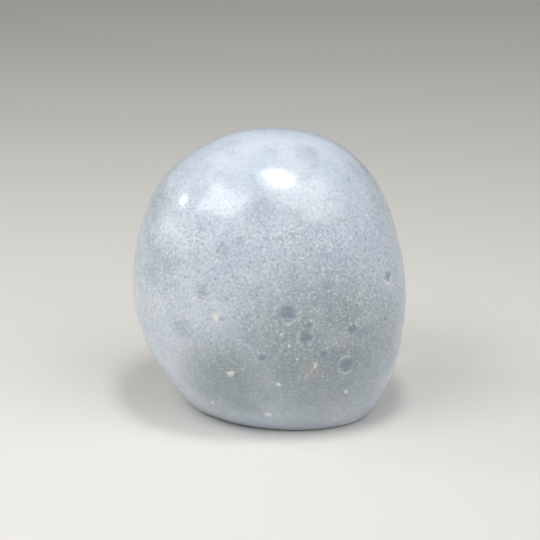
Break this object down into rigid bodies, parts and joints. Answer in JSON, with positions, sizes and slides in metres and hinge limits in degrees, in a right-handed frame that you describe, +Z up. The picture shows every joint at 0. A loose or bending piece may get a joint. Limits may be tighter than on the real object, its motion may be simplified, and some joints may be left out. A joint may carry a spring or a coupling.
{
  "type": "blue calcite freeform stone",
  "caption": "Polished egg-like freeform of pale blue calcite, palm-sized, that stands upright on a small ground flat.",
  "frame": {"origin": "centre of the bounding box at the level of the ground flat that the stone stands on", "axes": "+Z up, the stone's longest extent; +Y towards the back, through its shortest extent; the front faces -Y; +X to the right as seen from the front"},
  "size_m": [0.0806, 0.0633, 0.0854],
  "materials": {
    "calcite": "polished, fine-grained, faintly translucent blue calcite"
  },
  "bodies": {
    "root": {"calcite_stone": "calcite"}
  },
  "joints": []
}
